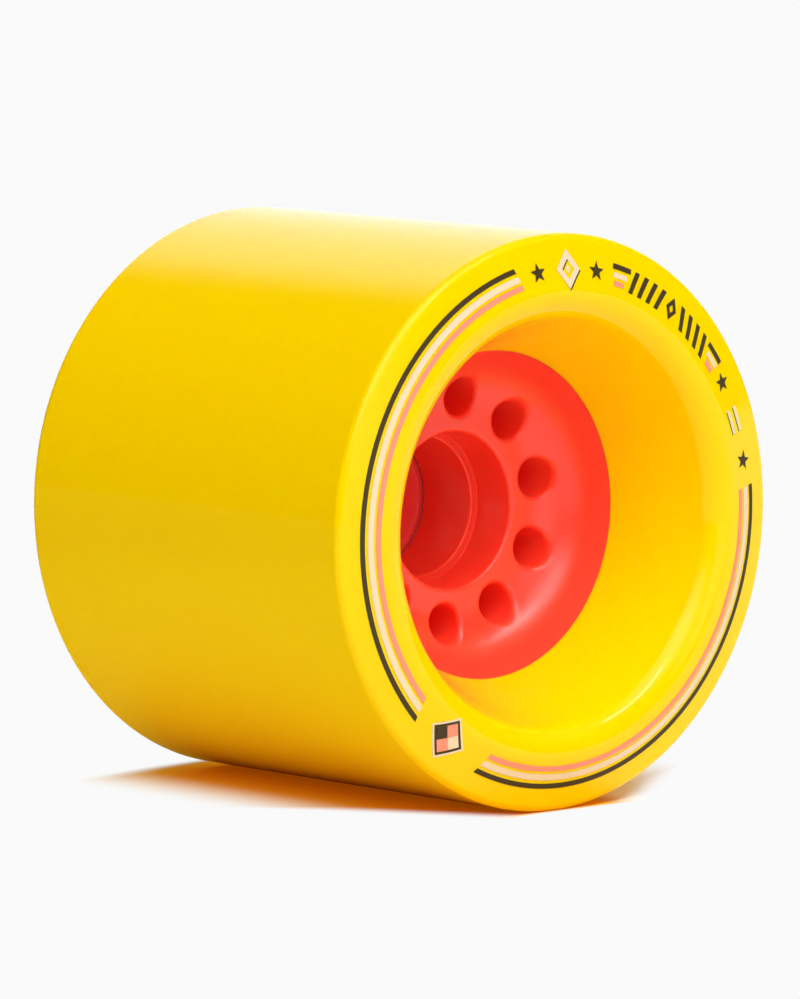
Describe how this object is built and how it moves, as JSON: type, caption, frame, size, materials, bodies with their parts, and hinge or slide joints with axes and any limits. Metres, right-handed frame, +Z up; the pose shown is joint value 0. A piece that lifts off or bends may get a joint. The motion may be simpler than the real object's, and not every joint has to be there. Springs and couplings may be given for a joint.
{
  "type": "longboard wheel",
  "caption": "Longboard wheel: a wide urethane tyre cast on a dished plastic core with round pockets, with striped print on the front lip and a sealed ball bearing in the rear seat.",
  "frame": {"origin": "centre of the wheel, on its axis, midway between the crowns of the two lips", "axes": "+Y along the wheel's axis, from the printed face to the rear face; +Z up"},
  "size_m": [0.08, 0.0686, 0.08],
  "materials": {
    "tyre": "smooth cast urethane, slightly translucent, satin gloss",
    "core": "moulded plastic, satin gloss",
    "ring_steel": "ground bearing steel",
    "cage_steel": "pressed steel",
    "ball_steel": "polished",
    "seal": "matte moulded rubber",
    "ink_black": "printed ink",
    "ink_cream": "printed ink",
    "ink_pink": "printed ink"
  },
  "bodies": {
    "inner_ring": {"inner_ring": "ring_steel"},
    "wheel": {"tyre": "tyre", "core": "core", "outer_ring": "ring_steel", "seal_inboard": "seal", "seal_outboard": "seal", "black_stripe_a": "ink_black", "black_stripe_b": "ink_black", "cream_stripe_a": "ink_cream", "cream_stripe_b": "ink_cream", "pink_stripe_a": "ink_pink", "pink_stripe_b": "ink_pink", "star_1": "ink_black", "star_2": "ink_black", "star_3": "ink_black", "star_4": "ink_black"},
    "cage": {"cage": "cage_steel"},
    "ball_1": {"ball_1": "ball_steel"},
    "ball_2": {"ball_2": "ball_steel"},
    "ball_3": {"ball_3": "ball_steel"},
    "ball_4": {"ball_4": "ball_steel"},
    "ball_5": {"ball_5": "ball_steel"},
    "ball_6": {"ball_6": "ball_steel"},
    "ball_7": {"ball_7": "ball_steel"}
  },
  "joints": [
    {"name": "wheel_spin", "type": "hinge", "parent": "inner_ring", "child": "wheel", "pos_m": [0, 0, 0], "axis": [0, 1, 0], "continuous": true},
    {"name": "cage_orbit", "type": "hinge", "parent": "inner_ring", "child": "cage", "pos_m": [0, 0.00935, 0], "axis": [0, 1, 0], "continuous": true},
    {"name": "ball_1_spin", "type": "hinge", "parent": "cage", "child": "ball_1", "pos_m": [0.00468, 0.00935, 0.00586], "axis": [0, 1, 0], "continuous": true},
    {"name": "ball_2_spin", "type": "hinge", "parent": "cage", "child": "ball_2", "pos_m": [-0.00167, 0.00935, 0.00731], "axis": [0, 1, 0], "continuous": true},
    {"name": "ball_3_spin", "type": "hinge", "parent": "cage", "child": "ball_3", "pos_m": [-0.00676, 0.00935, 0.00325], "axis": [0, 1, 0], "continuous": true},
    {"name": "ball_4_spin", "type": "hinge", "parent": "cage", "child": "ball_4", "pos_m": [-0.00676, 0.00935, -0.00325], "axis": [0, 1, 0], "continuous": true},
    {"name": "ball_5_spin", "type": "hinge", "parent": "cage", "child": "ball_5", "pos_m": [-0.00167, 0.00935, -0.00731], "axis": [0, 1, 0], "continuous": true},
    {"name": "ball_6_spin", "type": "hinge", "parent": "cage", "child": "ball_6", "pos_m": [0.00468, 0.00935, -0.00586], "axis": [0, 1, 0], "continuous": true},
    {"name": "ball_7_spin", "type": "hinge", "parent": "cage", "child": "ball_7", "pos_m": [0.0075, 0.00935, 0], "axis": [0, 1, 0], "continuous": true}
  ],
  "couplings": [
    {"joint": "cage_orbit", "follows": "wheel_spin", "ratio": 0.6323},
    {"joint": "ball_1_spin", "follows": "wheel_spin", "ratio": 1.7573},
    {"joint": "ball_2_spin", "follows": "wheel_spin", "ratio": 1.7573},
    {"joint": "ball_3_spin", "follows": "wheel_spin", "ratio": 1.7573},
    {"joint": "ball_4_spin", "follows": "wheel_spin", "ratio": 1.7573},
    {"joint": "ball_5_spin", "follows": "wheel_spin", "ratio": 1.7573},
    {"joint": "ball_6_spin", "follows": "wheel_spin", "ratio": 1.7573},
    {"joint": "ball_7_spin", "follows": "wheel_spin", "ratio": 1.7573}
  ]
}
